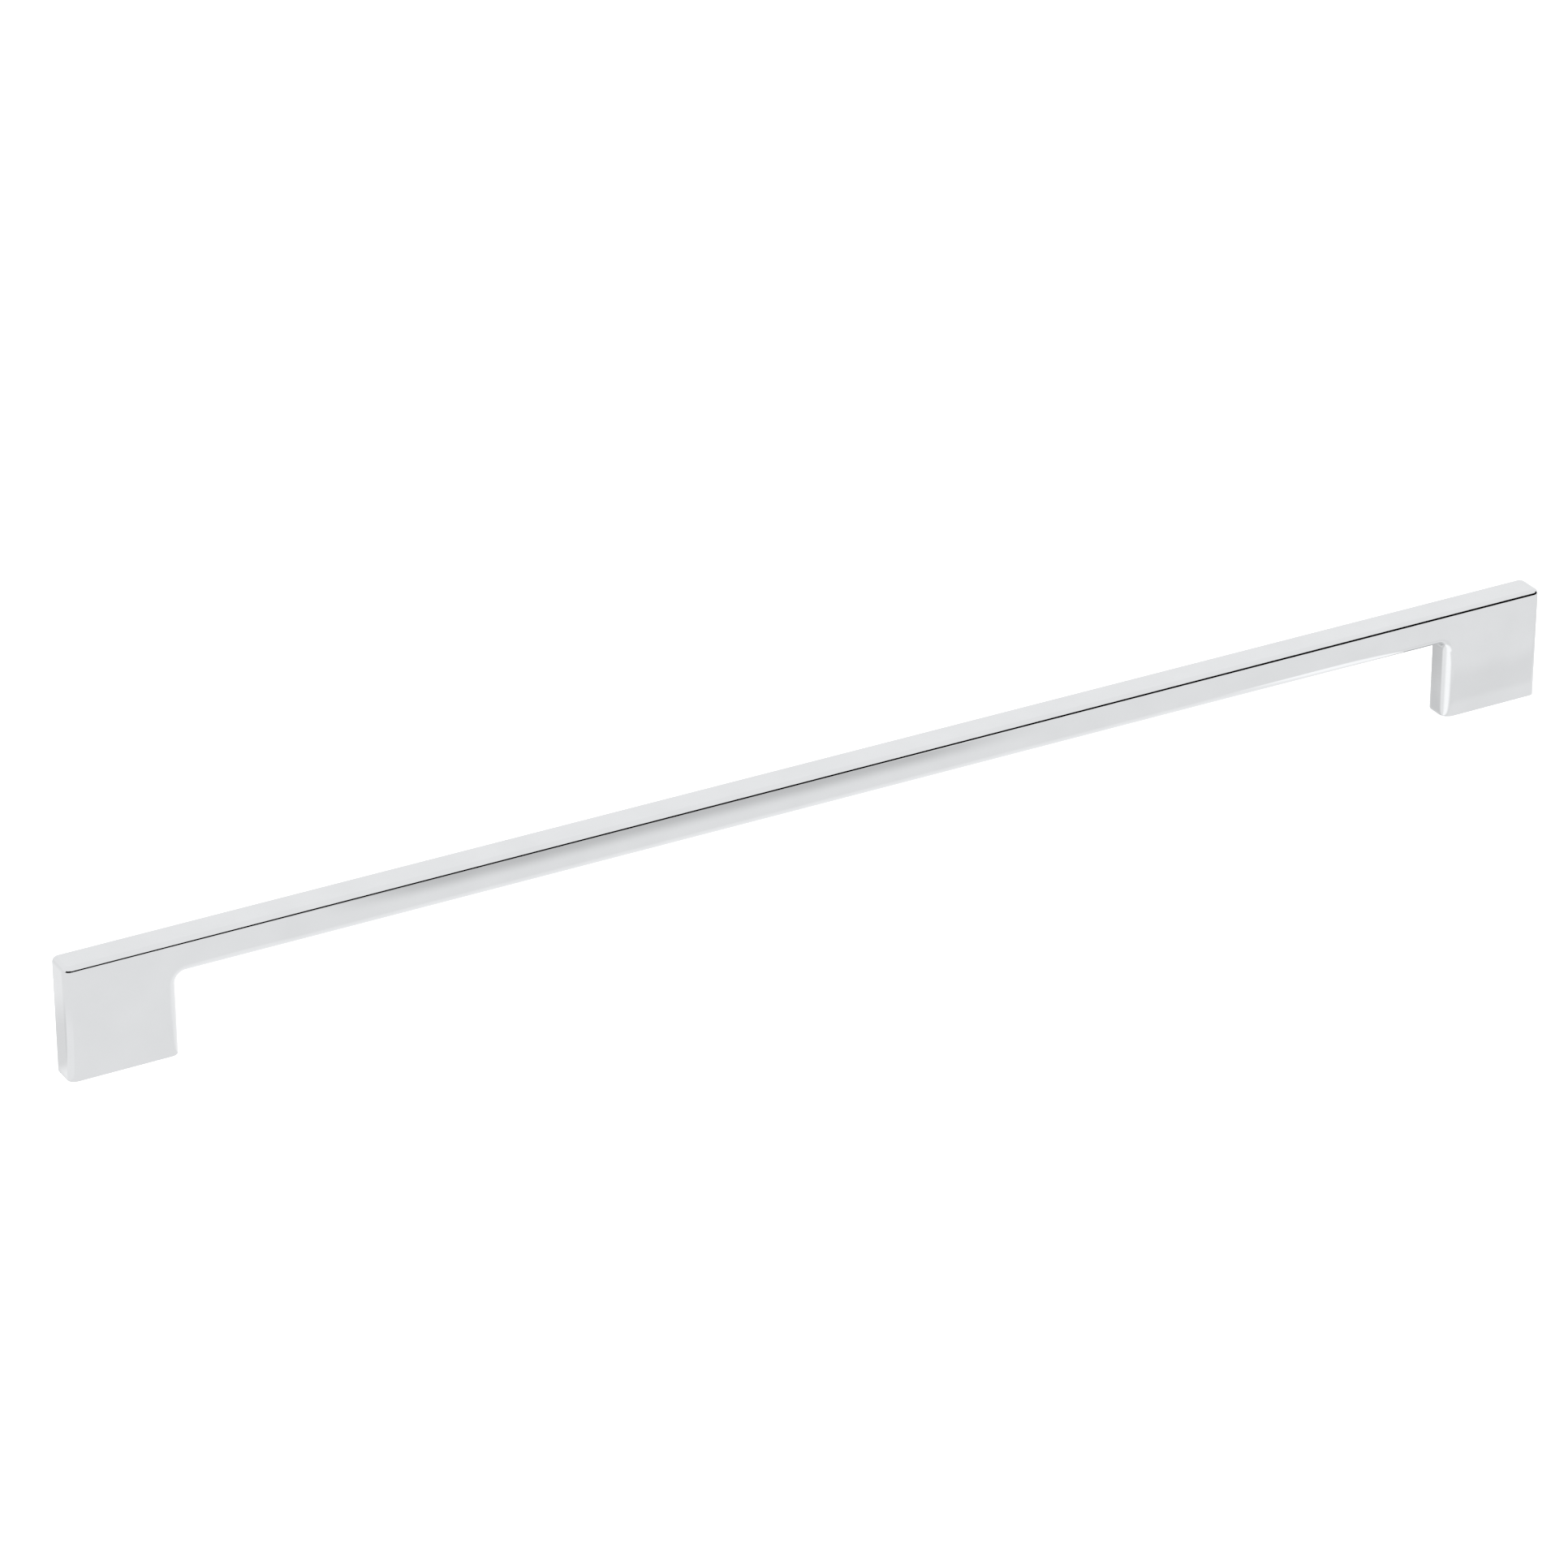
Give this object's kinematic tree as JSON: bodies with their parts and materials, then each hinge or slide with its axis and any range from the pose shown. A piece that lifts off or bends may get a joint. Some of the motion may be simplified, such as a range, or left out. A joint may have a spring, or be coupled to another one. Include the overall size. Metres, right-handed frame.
{
  "type": "cabinet d-handle",
  "caption": "Slim straight bridge handle for a cabinet door or drawer, with a rectangular bar, block feet and tapped screw holes in their bases.",
  "frame": {"origin": "on the plane of the two foot bases, midway between the two screw holes", "axes": "+X along the bar, +Y across it, +Z away from the door or drawer front, from the bases to the top of the bar"},
  "size_m": [0.4122, 0.0086, 0.03],
  "materials": {
    "polished_chrome": "polished"
  },
  "bodies": {
    "root": {"handle": "polished_chrome"}
  },
  "joints": []
}
